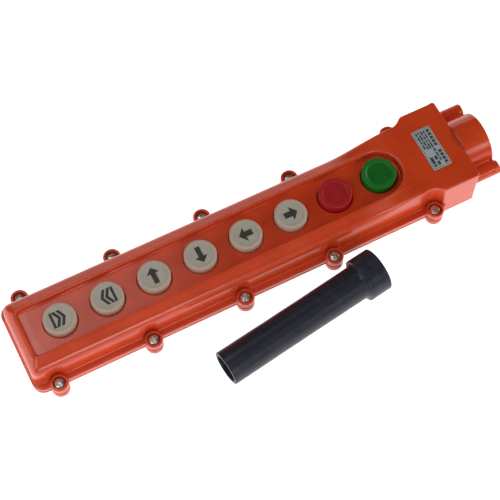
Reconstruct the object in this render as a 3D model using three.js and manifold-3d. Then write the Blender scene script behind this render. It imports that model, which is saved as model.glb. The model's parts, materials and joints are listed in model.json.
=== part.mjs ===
// Pendant control station for a hoist: eight push buttons in a long two-part housing,
// a cable cap at its head and a loose rubber cable boot lying beside it.
// Millimetres, +X along the row towards the head, +Z out of the front. The origin lies in
// the rear face, under the middle of the button row.
import * as THREE from 'three';
import { mergeVertices } from 'three/addons/utils/BufferGeometryUtils.js';
import Module from 'manifold-3d';

const wasm = await Module();
wasm.setup();

// ---------------------------------------------------------------- driving dimensions
const FIT = 0.3;                    // gap kept between pieces that touch
const PITCH = 38;                   // from one button to the next
const SMALLEST_STEP = 0.004;        // steps under this are left out of a solid

// heights above the rear face
const REAR_LIP = 9;                 // underside of the rear cover's rim
const REAR_TOP = 11.7;              // top of the rear cover's rim
const SEAM = 13;                    // underside of the front cover
const FLANGE_TOP = 17;
const EAR_TOP = 19.2;
const EAR_BOTTOM = 5.5;
const TRAY_FLOOR = 34.5;
const TRAY_UNDERSIDE = 32;
const RAIL_TOP = 39.9;
const HEAD_TOP = 42;
const HEAD_BOTTOM = 2;

// half widths
const FLANGE_HALF = 37.5;
const WALL_HALF = 32.2;             // foot of the front cover's side wall
const TUB_HALF = 31.5;
const TONGUE_HALF = 33.2;           // the rear cover's end inside the head
const HEAD_HALF = 36.2;
const TRAY_HALF = 19;

// places along the housing
const FLANGE_END = -170.3;
const WALL_END = -168.6;
const TUB_END = -165.5;
const TRAY_END = -160;
const TRAY_ROUND_END = 131.8;       // centre of the tray's round end
const RIM_STOP = 172.6;             // where the rim stops at the head
const HEAD_START = 173.2;
const TONGUE_START = 176.8;
const TONGUE_END = 198.3;
const HEAD_END = 201.6;
const WALL = 2.8;                   // wall thickness of both covers

// cover screws and their ears, in pairs on both sides
const EAR_PLACES = [-152, -76, 0, 76, 164.25];
const EAR_Y = 37.5;
const EAR_RADIUS = 6.9;
const SCALLOP_RADIUS = 8.2;         // screwdriver room cut in the side wall, at the flange
const SCALLOP_TOP_RADIUS = 5.5;     // and at the top of the head
const COUNTERBORE_RADIUS = 5;
const COUNTERBORE_FLOOR = 15.4;
const SCREW_HOLE_RADIUS = 2.3;

// cable cap and neck
const NECK_RADIUS = 22.2;
const NECK_HEIGHT = 22.2;           // its axis above the rear face
const NECK_START = HEAD_END + FIT;
const NECK_END = 224.2;
const NECK_BORE = 15.4;
const NECK_RECESS = 17.9;           // takes the boot's collar
const NECK_LIP = 3;
const CABLE_HOLE = 12;
const LUG_Y = 28.4;
const LUG_HEIGHT = 23.5;
const LUG_RADIUS = 5.8;
const LUG_COUNTERBORE_RADIUS = 4.7;
const LUG_END = 224.6;

// boot
const BOOT_LENGTH = 140;
const BOOT_RADIUS = 13.8;
const BOOT_COLLAR_RADIUS = 17.4;
const BOOT_COLLAR_LENGTH = 18;
const BOOT_WALL = 2.7;
const BOOT_FOOT = [-38.2, -80.8];   // plan position of its small end
const BOOT_TURN = 7.85;             // degrees from the X axis

const BUTTONS = [
  { name: 'button_north', kind: 'cream' },
  { name: 'button_south', kind: 'cream' },
  { name: 'button_west', kind: 'cream' },
  { name: 'button_east', kind: 'cream' },
  { name: 'button_down', kind: 'cream' },
  { name: 'button_up', kind: 'cream' },
  { name: 'button_stop', kind: 'red' },
  { name: 'button_start', kind: 'green' },
];
const BUTTON_RADIUS = { cream: 12.7, red: 13.3, green: 13.5 };
const BUTTON_CLEARANCE = 0.5;
const buttonX = (index) => (index - (BUTTONS.length - 1) / 2) * PITCH;

// ---------------------------------------------------------------- materials
const material = (color, roughness, metalness = 0) =>
  new THREE.MeshStandardMaterial({ color, roughness, metalness });
const MATERIALS = {
  housing: material(0xc8401c, 0.4),
  gasket: material(0x5a5c5e, 0.8),
  cream: material(0xb9b7a0, 0.5),
  red: material(0x8e1420, 0.45),
  green: material(0x0f6a2c, 0.45),
  steel: material(0xb8b2a6, 0.3, 0.9),
  darkSteel: material(0x3a3c40, 0.35, 0.8),
  plate: material(0xb4b8bd, 0.35, 0.7),
  rubber: material(0x1e1f24, 0.7),
  contact: material(0x2a2a2c, 0.6),
  brass: material(0xb08a3c, 0.35, 0.9),
};

// ---------------------------------------------------------------- solids
function solid(geometry) {
  geometry.deleteAttribute('normal');
  geometry.deleteAttribute('uv');
  const merged = mergeVertices(geometry, 1e-4);
  return new wasm.Manifold(new wasm.Mesh({
    numProp: 3,
    vertProperties: new Float32Array(merged.attributes.position.array),
    triVerts: new Uint32Array(merged.index.array),
  }));
}

// Flat stretches that booleans left in strips are made whole first.
function geometryOf(body) {
  const mesh = body.asOriginal().simplify(SMALLEST_STEP).getMesh();
  const geometry = new THREE.BufferGeometry();
  geometry.setAttribute('position', new THREE.BufferAttribute(mesh.vertProperties, 3));
  geometry.setIndex(new THREE.BufferAttribute(mesh.triVerts, 1));
  geometry.computeVertexNormals();
  return geometry;
}

const join = (first, ...rest) => rest.reduce((body, other) => body.add(other), first);
const cut = (first, ...rest) => rest.reduce((body, other) => body.subtract(other), first);
const common = (first, ...rest) => rest.reduce((body, other) => body.intersect(other), first);

function box(x0, x1, y0, y1, z0, z1) {
  const geometry = new THREE.BoxGeometry(x1 - x0, y1 - y0, z1 - z0);
  return solid(geometry.translate((x0 + x1) / 2, (y0 + y1) / 2, (z0 + z1) / 2));
}

// A round bar standing along Z.
function post(x, y, z0, z1, radius, sides = 14) {
  const geometry = new THREE.CylinderGeometry(radius, radius, z1 - z0, sides);
  return solid(geometry.rotateX(Math.PI / 2).translate(x, y, (z0 + z1) / 2));
}

// A body standing along Z that narrows from one radius to another.
function cone(x, y, z0, z1, lowRadius, highRadius, sides) {
  const geometry = new THREE.CylinderGeometry(highRadius, lowRadius, z1 - z0, sides);
  return solid(geometry.rotateX(Math.PI / 2).translate(x, y, (z0 + z1) / 2));
}

// A round bar lying along X.
function barX(y, z, x0, x1, radius, sides = 14) {
  const geometry = new THREE.CylinderGeometry(radius, radius, x1 - x0, sides);
  return solid(geometry.rotateZ(Math.PI / 2).translate((x0 + x1) / 2, y, z));
}

const flat = (outline, depth) =>
  new THREE.ExtrudeGeometry(outline, { depth, bevelEnabled: false, curveSegments: 3 });

// An outline in X and Y raised along Z.
const prismZ = (outline, z0, z1) => solid(flat(outline, z1 - z0).translate(0, 0, z0));

// An outline in Y and Z run along X.
function prismX(section, x0, x1) {
  const turn = new THREE.Matrix4().makeBasis(
    new THREE.Vector3(0, 1, 0), new THREE.Vector3(0, 0, 1), new THREE.Vector3(1, 0, 0));
  return solid(flat(section, x1 - x0).applyMatrix4(turn).translate(x0, 0, 0));
}

// An outline in X and Z run across Y, the same distance to both sides.
function prismY(profile, half) {
  const turn = new THREE.Matrix4().makeBasis(
    new THREE.Vector3(1, 0, 0), new THREE.Vector3(0, 0, 1), new THREE.Vector3(0, -1, 0));
  return solid(flat(profile, 2 * half).applyMatrix4(turn).translate(0, half, 0));
}

const shape = (points) => new THREE.Shape(points.map(([u, v]) => new THREE.Vector2(u, v)));

// A section that is the same on both sides: only its right half is listed, bottom to top.
const mirrored = (points) =>
  shape([...points, ...points.toReversed().map(([y, z]) => [-y, z])]);

// A rectangle from x0 to x1 and -half to half, with rounded corners. An end radius of 0 is square.
function rounded(x0, x1, half, startRadius, endRadius = startRadius) {
  const outline = new THREE.Shape();
  const quarter = Math.PI / 2;
  if (endRadius > 0) {
    outline.absarc(x1 - endRadius, -half + endRadius, endRadius, -quarter, 0, false);
    outline.absarc(x1 - endRadius, half - endRadius, endRadius, 0, quarter, false);
  } else {
    outline.moveTo(x1, -half);
    outline.lineTo(x1, half);
  }
  outline.absarc(x0 + startRadius, half - startRadius, startRadius, quarter, 2 * quarter, false);
  outline.absarc(x0 + startRadius, -half + startRadius, startRadius, 2 * quarter, 3 * quarter, false);
  return outline;
}

// A body turned about Z from [radius, height] points that close on themselves.
function turned(points, sides = 20) {
  const closed = [...points, points[0]].map(([r, z]) => new THREE.Vector2(r, z));
  return solid(new THREE.LatheGeometry(closed, sides).rotateX(Math.PI / 2));
}

const atEars = (make) => EAR_PLACES.flatMap((x) => [make(x, -EAR_Y), make(x, EAR_Y)]);
const atButtons = (make) => BUTTONS.map((button, index) => make(buttonX(index), button));

// ---------------------------------------------------------------- scene
const station = new THREE.Group();

function addPiece(name, body, look, place = station) {
  const mesh = new THREE.Mesh(body.isBufferGeometry ? body : geometryOf(body), MATERIALS[look].clone());
  mesh.name = name;
  place.add(mesh);
  return mesh;
}

// ---------------------------------------------------------------- front cover
function frontCoverOutside() {
  // side wall, rounded shoulder, sloping rail and crest
  const section = mirrored([
    [WALL_HALF, SEAM], [31.2, 31.5], [30.5, 33.9], [28.9, 35.4], [20.7, 39.3], [19.2, RAIL_TOP],
  ]);
  const profile = shape([
    [WALL_END, SEAM], [180, SEAM], [180, RAIL_TOP], [TRAY_END, RAIL_TOP],
    [-161.4, 39.3], [-165.9, 35.4], [-167.1, 33.9], [-167.8, 31.5],
  ]);
  const body = common(
    prismX(section, WALL_END, 180),
    prismY(profile, WALL_HALF),
    prismZ(rounded(WALL_END, 180, WALL_HALF, 7), SEAM, RAIL_TOP));
  const flange = prismZ(rounded(FLANGE_END, HEAD_START + 1, FLANGE_HALF, 9, 1), SEAM, FLANGE_TOP);

  // the rails climb and widen into the flat top of the head
  const ramp = shape([
    [100, SEAM], [180, SEAM], [180, HEAD_TOP], [152, HEAD_TOP], [135, 39.9], [117, 36], [100, 34],
  ]);
  const climb = common(
    prismX(mirrored([[WALL_HALF, SEAM], [31.2, 31.5], [29.8, 40.5], [28.6, HEAD_TOP]]), 100, 180),
    prismY(ramp, WALL_HALF));

  // the walls flare out to the head's full width
  const flare = [[150, 29], [156, 29.7], [161, 30.9], [165, 32.4], [169, 34.4], [172.2, HEAD_HALF]];
  const headEnd = [[HEAD_END - 2, HEAD_HALF], [HEAD_END, HEAD_HALF - 2]];
  const farSide = [...flare, ...headEnd];
  const headPlan = shape([...farSide.map(([x, y]) => [x, -y]), ...farSide.toReversed()]);
  const headSection = mirrored([
    [HEAD_HALF - 1.8, HEAD_BOTTOM], [HEAD_HALF, 3.8],
    [HEAD_HALF, HEAD_TOP - 0.8], [HEAD_HALF - 0.8, HEAD_TOP],
  ]);
  const head = common(
    prismZ(headPlan, SEAM, HEAD_TOP), prismX(headSection, 149, HEAD_END));
  const headSkirt = common(
    prismZ(rounded(HEAD_START, HEAD_END, HEAD_HALF, 2), HEAD_BOTTOM, SEAM + 1),
    prismX(headSection, 150, HEAD_END));

  const scallops = atEars((x, y) =>
    cone(x, y, FLANGE_TOP, HEAD_TOP + 0.1, SCALLOP_RADIUS, SCALLOP_TOP_RADIUS, 18));
  const ears = atEars((x, y) => post(x, y, SEAM, EAR_TOP, EAR_RADIUS));
  return join(cut(join(body, climb, head, flange), ...scallops), headSkirt, ...ears);
}

function frontCoverCavity() {
  const inside = mirrored([[WALL_HALF - WALL, 12], [28.6, 30.8], [27.4, TRAY_UNDERSIDE]]);
  const room = common(
    prismX(inside, WALL_END + WALL, TONGUE_START + 1),
    prismZ(rounded(WALL_END + WALL, TONGUE_START + 1, WALL_HALF - WALL, 5), 12, TRAY_UNDERSIDE));
  const earBacks = atEars((x, y) => post(x, y, 11, HEAD_TOP, SCALLOP_RADIUS + WALL, 12));
  const headRoom = box(TONGUE_START - FIT, HEAD_END - 3, -TONGUE_HALF - FIT, TONGUE_HALF + FIT,
    HEAD_BOTTOM - 1, HEAD_TOP - WALL);
  const tubWay = box(HEAD_START - 2, TONGUE_START + 1, -TUB_HALF - FIT, TUB_HALF + FIT,
    HEAD_BOTTOM - 1, SEAM);
  return join(cut(room, ...earBacks), headRoom, tubWay);
}

function makeFrontCover() {
  // the tray ends in a half circle round the last button
  const trayPlan = rounded(TRAY_END, TRAY_ROUND_END, TRAY_HALF, 3, 0);
  const trayEnd = post(TRAY_ROUND_END, 0, TRAY_FLOOR, HEAD_TOP + 1, TRAY_HALF, 36);
  const tray = join(prismZ(trayPlan, TRAY_FLOOR, HEAD_TOP + 1), trayEnd);
  const buttonHoles = atButtons((x, button) =>
    post(x, 0, TRAY_UNDERSIDE - 1, TRAY_FLOOR + 1, BUTTON_RADIUS[button.kind] + BUTTON_CLEARANCE, 24));
  const screwHoles = atEars((x, y) => join(
    post(x, y, SEAM - 1, EAR_TOP, SCREW_HOLE_RADIUS, 8),
    post(x, y, COUNTERBORE_FLOOR, EAR_TOP + 1, COUNTERBORE_RADIUS)));
  const capBosses = [-LUG_Y, LUG_Y].map((y) => barX(y, LUG_HEIGHT, 188, HEAD_END - 1, 5.2, 16));
  const capHoles = [-LUG_Y, LUG_Y].map((y) =>
    barX(y, LUG_HEIGHT, 190, HEAD_END + 1, SCREW_HOLE_RADIUS, 8));
  const cableHole = barX(0, NECK_HEIGHT, HEAD_END - 5, HEAD_END + 1, CABLE_HOLE, 24);
  const platePocket = box(PLATE.x0 - FIT, PLATE.x1 + FIT, PLATE.y0 - FIT, PLATE.y1 + FIT,
    PLATE.z0 - FIT, HEAD_TOP + 1);
  const shell = cut(frontCoverOutside(), frontCoverCavity(), tray, platePocket, cableHole);
  return cut(join(shell, ...capBosses), ...buttonHoles, ...screwHoles, ...capHoles);
}

// ---------------------------------------------------------------- label plate
const PLATE = { x0: 171.6, x1: 187.2, y0: -17.8, y1: 19.2, z0: 41.8, z1: 42.4 };

const makePlate = () => box(PLATE.x0, PLATE.x1, PLATE.y0, PLATE.y1, PLATE.z0, PLATE.z1);

// ---------------------------------------------------------------- rear cover and gasket
const GRIP = { x: 187, y: 13.5, postTop: 27 };
const EARTH = { x: 158, y: -17, bossTop: 8 };

function makeRearCover() {
  const rim = prismZ(rounded(FLANGE_END + 0.2, RIM_STOP, FLANGE_HALF - 0.2, 8.8, 1), REAR_LIP, REAR_TOP);
  const chamfered = (half) => mirrored([[half - 2, 0], [half, 2], [half, REAR_TOP]]);
  const tub = common(
    prismZ(rounded(TUB_END, TONGUE_START + 1, TUB_HALF, 8, 0.5), 0, REAR_TOP),
    prismX(chamfered(TUB_HALF), TUB_END, TONGUE_START + 1),
    prismY(shape([[TUB_END + 2, 0], [190, 0], [190, REAR_TOP], [TUB_END, REAR_TOP], [TUB_END, 2]]),
      TUB_HALF));
  const tongue = prismX(chamfered(TONGUE_HALF), TONGUE_START, TONGUE_END);
  const ears = atEars((x, y) => post(x, y, EAR_BOTTOM, REAR_TOP, EAR_RADIUS));
  const room = prismZ(rounded(TUB_END + WALL, TONGUE_END - WALL, TUB_HALF - WALL, 5), WALL, REAR_TOP + 1);
  const screwHoles = atEars((x, y) => post(x, y, EAR_BOTTOM + 1.5, REAR_TOP + 1, SCREW_HOLE_RADIUS, 8));
  const pegs = blockCentres().flatMap((x) => [-1, 1].map((side) =>
    post(x + side * BLOCK.pegOut, 0, WALL - 1, BLOCK.z0 + 3, 1.6, 12)));
  const gripPosts = [-GRIP.y, GRIP.y].map((y) => cut(
    post(GRIP.x, y, WALL - 1, GRIP.postTop, 4, 16),
    post(GRIP.x, y, 14, GRIP.postTop + 1, 1.9, 12)));
  const saddle = box(GRIP.x - 4, GRIP.x + 4, -GRIP.y, GRIP.y, WALL - 1, 11);
  const earthBoss = cut(
    post(EARTH.x, EARTH.y, WALL - 1, EARTH.bossTop, 4.2, 16),
    post(EARTH.x, EARTH.y, 3.6, EARTH.bossTop + 1, 2.1, 12));
  const shell = cut(join(rim, tub, tongue, ...ears), room, ...screwHoles);
  return join(shell, ...pegs, saddle, ...gripPosts, earthBoss);
}

function makeCoverGasket() {
  const z0 = REAR_TOP + FIT;
  const z1 = SEAM - FIT;
  const rim = prismZ(rounded(FLANGE_END + 0.5, RIM_STOP, FLANGE_HALF - 0.4, 8.6, 1), z0, z1);
  const neck = box(RIM_STOP - 1, TONGUE_START + 1, -TUB_HALF, TUB_HALF, z0, z1);
  const tongue = box(TONGUE_START, TONGUE_END, -TONGUE_HALF, TONGUE_HALF, z0, z1);
  const tabs = atEars((x, y) => post(x, y, z0, z1, EAR_RADIUS - 0.4));
  const room = prismZ(rounded(TUB_END + WALL, TONGUE_END - WALL, TUB_HALF - WALL, 5), z0 - 1, z1 + 1);
  const holes = atEars((x, y) => post(x, y, z0 - 1, z1 + 1, SCREW_HOLE_RADIUS, 8));
  return cut(join(rim, neck, tongue, ...tabs), room, ...holes);
}

// ---------------------------------------------------------------- cable cap and its gasket
const CAP_GROOVE = { inner: 18.9, outer: 20.9, depth: 1.5 };
const CAP_SCREW_SEAT = 220.6;

function makeCableCap() {
  const lugs = [-LUG_Y, LUG_Y].map((y) => barX(y, LUG_HEIGHT, NECK_START, LUG_END, LUG_RADIUS, 16));
  const webs = box(NECK_START, 220, -LUG_Y, LUG_Y, LUG_HEIGHT - 3.4, LUG_HEIGHT + 3.4);
  const outside = join(barX(0, NECK_HEIGHT, NECK_START, NECK_END, NECK_RADIUS, 40), ...lugs, webs);
  const bore = barX(0, NECK_HEIGHT, NECK_START - 1, NECK_END + 1, NECK_BORE, 24);
  const recess = barX(0, NECK_HEIGHT, NECK_START - 1, NECK_END - NECK_LIP, NECK_RECESS, 24);
  const groove = cut(
    barX(0, NECK_HEIGHT, NECK_START - 1, NECK_START + CAP_GROOVE.depth, CAP_GROOVE.outer, 24),
    barX(0, NECK_HEIGHT, NECK_START - 2, NECK_START + 2, CAP_GROOVE.inner, 24));
  const holes = [-LUG_Y, LUG_Y].flatMap((y) => [
    barX(y, LUG_HEIGHT, NECK_START - 1, LUG_END, SCREW_HOLE_RADIUS, 8),
    barX(y, LUG_HEIGHT, CAP_SCREW_SEAT, LUG_END + 1, LUG_COUNTERBORE_RADIUS, 18)]);
  return cut(outside, bore, recess, groove, ...holes);
}

function makeCapGasket() {
  const x1 = NECK_START + CAP_GROOVE.depth - FIT;
  return cut(
    barX(0, NECK_HEIGHT, NECK_START, x1, CAP_GROOVE.outer - FIT, 24),
    barX(0, NECK_HEIGHT, NECK_START - 1, x1 + 1, CAP_GROOVE.inner + FIT, 24));
}

// ---------------------------------------------------------------- screws
// A pan-head screw with a cross recess, its head's underside at height 0.
function makeScrew(shankRadius, shankLength, headRadius, headHeight) {
  const blank = turned([
    [0, -shankLength], [shankRadius, -shankLength], [shankRadius, 0], [headRadius, 0],
    [headRadius, headHeight * 0.45], [headRadius * 0.7, headHeight * 0.9], [0, headHeight],
  ], 12);
  const reach = headRadius * 0.55;
  const slot = headRadius * 0.13;
  const floor = headHeight * 0.35;
  return cut(blank,
    box(-reach, reach, -slot, slot, floor, headHeight + 1),
    box(-slot, slot, -reach, reach, floor, headHeight + 1));
}

function addScrews() {
  const coverScrew = geometryOf(makeScrew(1.95, 8, 4.6, 3.1));
  EAR_PLACES.forEach((x, index) => {
    for (const [side, y] of [['near', -EAR_Y], ['far', EAR_Y]]) {
      const screw = addPiece(`cover_screw_${side}_${index + 1}`, coverScrew.clone(), 'steel');
      screw.position.set(x, y, COUNTERBORE_FLOOR + FIT);
    }
  });
  const capScrew = geometryOf(makeScrew(1.95, 28, 4.1, 2.8).rotate([0, 90, 0]));
  for (const [side, y] of [['near', -LUG_Y], ['far', LUG_Y]]) {
    const screw = addPiece(`cap_screw_${side}`, capScrew.clone(), 'darkSteel');
    screw.position.set(CAP_SCREW_SEAT + FIT, y, LUG_HEIGHT);
  }
  const gripScrew = geometryOf(makeScrew(1.5, 12, 3.3, 2.2));
  for (const [side, y] of [['near', -GRIP.y], ['far', GRIP.y]]) {
    const screw = addPiece(`cord_grip_screw_${side}`, gripScrew.clone(), 'steel');
    screw.position.set(GRIP.x, y, GRIP.postTop + 2 * FIT + GRIP_BAR_THICK);
  }
  const earthScrew = addPiece('earth_screw', makeScrew(1.7, 4, 3.6, 2.4), 'brass');
  earthScrew.position.set(EARTH.x, EARTH.y, EARTH.bossTop + FIT);
}

// ---------------------------------------------------------------- cord grip
const GRIP_BAR_THICK = 3;

function makeGripBar() {
  const z0 = GRIP.postTop + FIT;
  const bar = prismZ(rounded(GRIP.x - 4.5, GRIP.x + 4.5, GRIP.y + 4.5, 4), z0, z0 + GRIP_BAR_THICK);
  const holes = [-GRIP.y, GRIP.y].map((y) =>
    post(GRIP.x, y, z0 - 1, z0 + GRIP_BAR_THICK + 1, 1.9, 12));
  return cut(bar, ...holes);
}

// ---------------------------------------------------------------- buttons
const COLLAR = { top: 30.2, bottom: 28.2, overhang: 2.6 };
const SEAL = { top: TRAY_UNDERSIDE - FIT, bottom: COLLAR.top + FIT, width: 2.6 };
const STEM_END = 21;
const STEM_RADIUS = 3.2;
const CAP_TOP = { cream: 40.2, red: 41.5, green: 41.5 };

// The cap: soft outer edge, narrow rim, and a disc sunk inside the rim.
function makeButton(kind) {
  const radius = BUTTON_RADIUS[kind];
  const top = CAP_TOP[kind];
  return turned([
    [0, STEM_END], [STEM_RADIUS, STEM_END], [STEM_RADIUS, COLLAR.bottom],
    [radius + COLLAR.overhang, COLLAR.bottom], [radius + COLLAR.overhang, COLLAR.top],
    [radius, COLLAR.top], [radius, top - 1], [radius - 0.8, top - 0.2],
    [radius - 2, top], [radius - 3, top - 0.7], [0, top - 0.7],
  ]);
}

const makeSeal = (radius) => turned([
  [radius + 0.6, SEAL.bottom], [radius + 0.6 + SEAL.width, SEAL.bottom],
  [radius + 0.6 + SEAL.width, SEAL.top], [radius + 0.6, SEAL.top],
], 12);

// ---------------------------------------------------------------- return springs
const SPRING = { radius: 7, wire: 0.7, turns: 3, stepsPerTurn: 9, top: COLLAR.bottom - 2 * FIT };

class Helix extends THREE.Curve {
  getPoint(t, target = new THREE.Vector3()) {
    const angle = 2 * Math.PI * SPRING.turns * t;
    const low = BLOCK.z1 + FIT + SPRING.wire;
    const high = SPRING.top - SPRING.wire;
    return target.set(
      SPRING.radius * Math.cos(angle), SPRING.radius * Math.sin(angle), low + (high - low) * t);
  }
}

function makeSpring() {
  const corners = [0, 1, 2, 3, 4].map((corner) => corner * 2 * Math.PI / 5);
  const wire = shape(corners.map((a) => [SPRING.wire * Math.cos(a), SPRING.wire * Math.sin(a)]));
  return solid(new THREE.ExtrudeGeometry(wire, {
    steps: SPRING.turns * SPRING.stepsPerTurn, bevelEnabled: false, extrudePath: new Helix(),
  }));
}

// ---------------------------------------------------------------- contact blocks
// One block serves two neighbouring buttons; a plunger slides in it under each button.
const BLOCK = { z0: WALL + FIT, z1: 17.3, half: 13, pastButton: 12.5, pegOut: 8 };
const PLUNGER = { half: 3.6, top: STEM_END - FIT, bottom: 11.4, barHalf: 7, barThick: 1.6 };
const blockCentres = () => [0, 2, 4, 6].map((index) => (buttonX(index) + buttonX(index + 1)) / 2);

function makeContactBlock(centre) {
  const reach = PITCH / 2 + BLOCK.pastButton;
  const body = box(centre - reach, centre + reach, -BLOCK.half, BLOCK.half, BLOCK.z0, BLOCK.z1);
  const cuts = [-1, 1].flatMap((side) => {
    const x = centre + side * PITCH / 2;
    const peg = centre + side * BLOCK.pegOut;
    return [
      // the window that the bridging bar moves in, and the plunger's guide above it
      box(x - 8.2, x + 8.2, -BLOCK.half - 1, BLOCK.half + 1, 6, 14.6),
      box(x - 3.9, x + 3.9, -3.9, 3.9, 14, BLOCK.z1 + 1),
      post(peg, 0, BLOCK.z0 - 1, BLOCK.z0 + 3 + FIT, 1.9, 12),
      // steps for the wires at both sides
      box(x - 5, x + 5, BLOCK.half - 3, BLOCK.half + 1, 14, BLOCK.z1 + 1),
      box(x - 5, x + 5, -BLOCK.half - 1, -BLOCK.half + 3, 14, BLOCK.z1 + 1)];
  });
  return cut(body, ...cuts);
}

function makePlunger() {
  return join(
    box(-PLUNGER.half, PLUNGER.half, -PLUNGER.half, PLUNGER.half, PLUNGER.bottom, PLUNGER.top),
    box(-PLUNGER.barHalf, PLUNGER.barHalf, -2.5, 2.5, PLUNGER.bottom, PLUNGER.bottom + PLUNGER.barThick));
}

function addButtons() {
  const spring = geometryOf(makeSpring());
  const plunger = geometryOf(makePlunger());
  BUTTONS.forEach(({ name, kind }, index) => {
    const place = new THREE.Group();
    place.position.x = buttonX(index);
    station.add(place);
    const number = index + 1;
    addPiece(name, makeButton(kind), kind, place);
    addPiece(`button_seal_${number}`, makeSeal(BUTTON_RADIUS[kind]), 'rubber', place);
    addPiece(`return_spring_${number}`, spring.clone(), 'steel', place);
    addPiece(`contact_plunger_${number}`, plunger.clone(), 'contact', place);
  });
  blockCentres().forEach((centre, index) =>
    addPiece(`contact_block_${index + 1}`, makeContactBlock(centre), 'contact'));
}

// ---------------------------------------------------------------- cable boot
// Lies on its small end and on its collar's back edge, so its axis climbs a little.
function addBoot() {
  const inner = BOOT_RADIUS - BOOT_WALL;
  const back = BOOT_LENGTH - BOOT_COLLAR_LENGTH;
  const boot = turned([
    [inner, 0], [BOOT_RADIUS - 0.5, 0], [BOOT_RADIUS, 0.6], [BOOT_RADIUS, back - 1.5],
    [BOOT_RADIUS + 1, back], [BOOT_COLLAR_RADIUS, back], [BOOT_COLLAR_RADIUS, BOOT_LENGTH - 0.6],
    [BOOT_COLLAR_RADIUS - 0.6, BOOT_LENGTH], [inner, BOOT_LENGTH],
  ], 32);
  const climb = Math.asin((BOOT_COLLAR_RADIUS - BOOT_RADIUS) / back);
  const place = addPiece('cable_boot', geometryOf(boot), 'rubber');
  place.rotation.set(0, Math.PI / 2 - climb, THREE.MathUtils.degToRad(BOOT_TURN), 'ZYX');
  place.position.set(...BOOT_FOOT, BOOT_RADIUS * Math.cos(climb) + 0.05);
}

// ---------------------------------------------------------------- assembly
addPiece('front_cover', makeFrontCover(), 'housing');
addPiece('rear_cover', makeRearCover(), 'housing');
addPiece('cover_gasket', makeCoverGasket(), 'gasket');
addPiece('cable_cap', makeCableCap(), 'housing');
addPiece('cap_gasket', makeCapGasket(), 'gasket');
addPiece('label_plate', makePlate(), 'plate');
addPiece('cord_grip_bar', makeGripBar(), 'steel');
addScrews();
addButtons();
addBoot();

export default station;
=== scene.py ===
"""Looks of the pendant control station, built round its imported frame.

Blender 4.5, metres. +X runs along the buttons to the head, +Z comes out of the front.
The moulded shells are distance fields in millimetres, turned into meshes with true fillets.
"""
import json
import math

import bpy
import numpy as np
from mathutils import Matrix, Vector


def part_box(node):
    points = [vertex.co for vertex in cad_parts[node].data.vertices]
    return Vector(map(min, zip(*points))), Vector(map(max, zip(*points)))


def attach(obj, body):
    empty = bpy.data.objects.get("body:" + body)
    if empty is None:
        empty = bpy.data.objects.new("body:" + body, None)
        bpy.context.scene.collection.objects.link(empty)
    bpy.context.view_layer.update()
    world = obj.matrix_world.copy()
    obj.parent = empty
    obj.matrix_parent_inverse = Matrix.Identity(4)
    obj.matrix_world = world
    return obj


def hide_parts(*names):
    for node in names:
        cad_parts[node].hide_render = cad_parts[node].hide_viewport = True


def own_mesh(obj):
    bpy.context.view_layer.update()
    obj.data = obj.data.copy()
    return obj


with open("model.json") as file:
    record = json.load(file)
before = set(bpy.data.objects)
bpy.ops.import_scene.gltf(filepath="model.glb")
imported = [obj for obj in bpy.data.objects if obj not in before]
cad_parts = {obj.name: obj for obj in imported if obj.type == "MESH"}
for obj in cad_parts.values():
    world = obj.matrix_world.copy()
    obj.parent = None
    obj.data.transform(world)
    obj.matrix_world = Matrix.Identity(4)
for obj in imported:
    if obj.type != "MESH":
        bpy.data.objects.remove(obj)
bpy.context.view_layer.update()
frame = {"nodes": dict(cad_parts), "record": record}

MM = 0.001                          # metres in a millimetre
FIELD_STEP = 0.8  # grid of the large shells, in millimetres
KEPT_SHARE = 0.3  # share of a shell's faces kept where it is flat


def box_mm(node):
    """Lowest and highest corner of a CAD node, in millimetres."""
    low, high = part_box(node)
    return np.array(low) / MM, np.array(high) / MM


# ---------------------------------------------------------------- sizes, in millimetres
COVER_LOW, COVER_HIGH = box_mm("front_cover")
CAP_LOW, CAP_HIGH = box_mm("cable_cap")
PLATE_LOW, PLATE_HIGH = box_mm("label_plate")
GASKET_LOW, GASKET_HIGH = box_mm("cover_gasket")
FIT = 0.3                           # gap between pieces that touch
SHARP = 0.01                        # radius of a corner that stays unrounded

# front cover
HEAD_END = COVER_HIGH[0] + 0.2      # nearly closes the seam with the cap
HEAD_TOP = COVER_HIGH[2]
HEAD_BOTTOM = COVER_LOW[2]
HEAD_HALF = 36.2
HEAD_START = 173.2
HEAD_CORNER = 2.2
FLANGE_END = -170.3
FLANGE_HALF = 37.5
FLANGE_TOP = 17.0
SEAM = GASKET_HIGH[2] + FIT         # underside of the flange
WALL_END = -168.6
WALL_HALF = 32.0
WALL_LEAN = 0.054                   # draft of the side wall
WALL_OVERLAP = 6.0                  # how far the side walls run on inside the head
FLARE_START = 150.0                 # the walls flare out to the head in an arc
FLARE_RADIUS = 42.0
WALL = 2.8
LEAST_WALL = 1.8                    # where the cavity comes near a rounded edge
RAIL_TOP = 39.9
CLIMB_START, CLIMB_END = 104, 158   # where the rails climb into the head's top
END_SLOPE = 0.85                    # how steeply the rail across the far end falls
BEAD_SIDE = 20.4                    # middle of the fine raised line along each rail
BEAD_WIDTH = 0.8
SHOULDER = 35.0
SHOULDER_HALF = 29.2
TRAY_HALF = 19.0
TRAY_END = -160.0
TRAY_ROUND_END = 131.8
TRAY_FLOOR = 34.5
TRAY_DRAFT = 0.05
TRAY_UNDERSIDE = 32.0

# rear cover
REAR_TOP = GASKET_LOW[2] - FIT
REAR_LIP = 9.0
REAR_RIM_END = 172.6
TUB_HALF = 31.5
TUB_END = -165.5
TONGUE_HALF = 33.2
TONGUE_START = 176.8
TONGUE_END = 198.3

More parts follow.
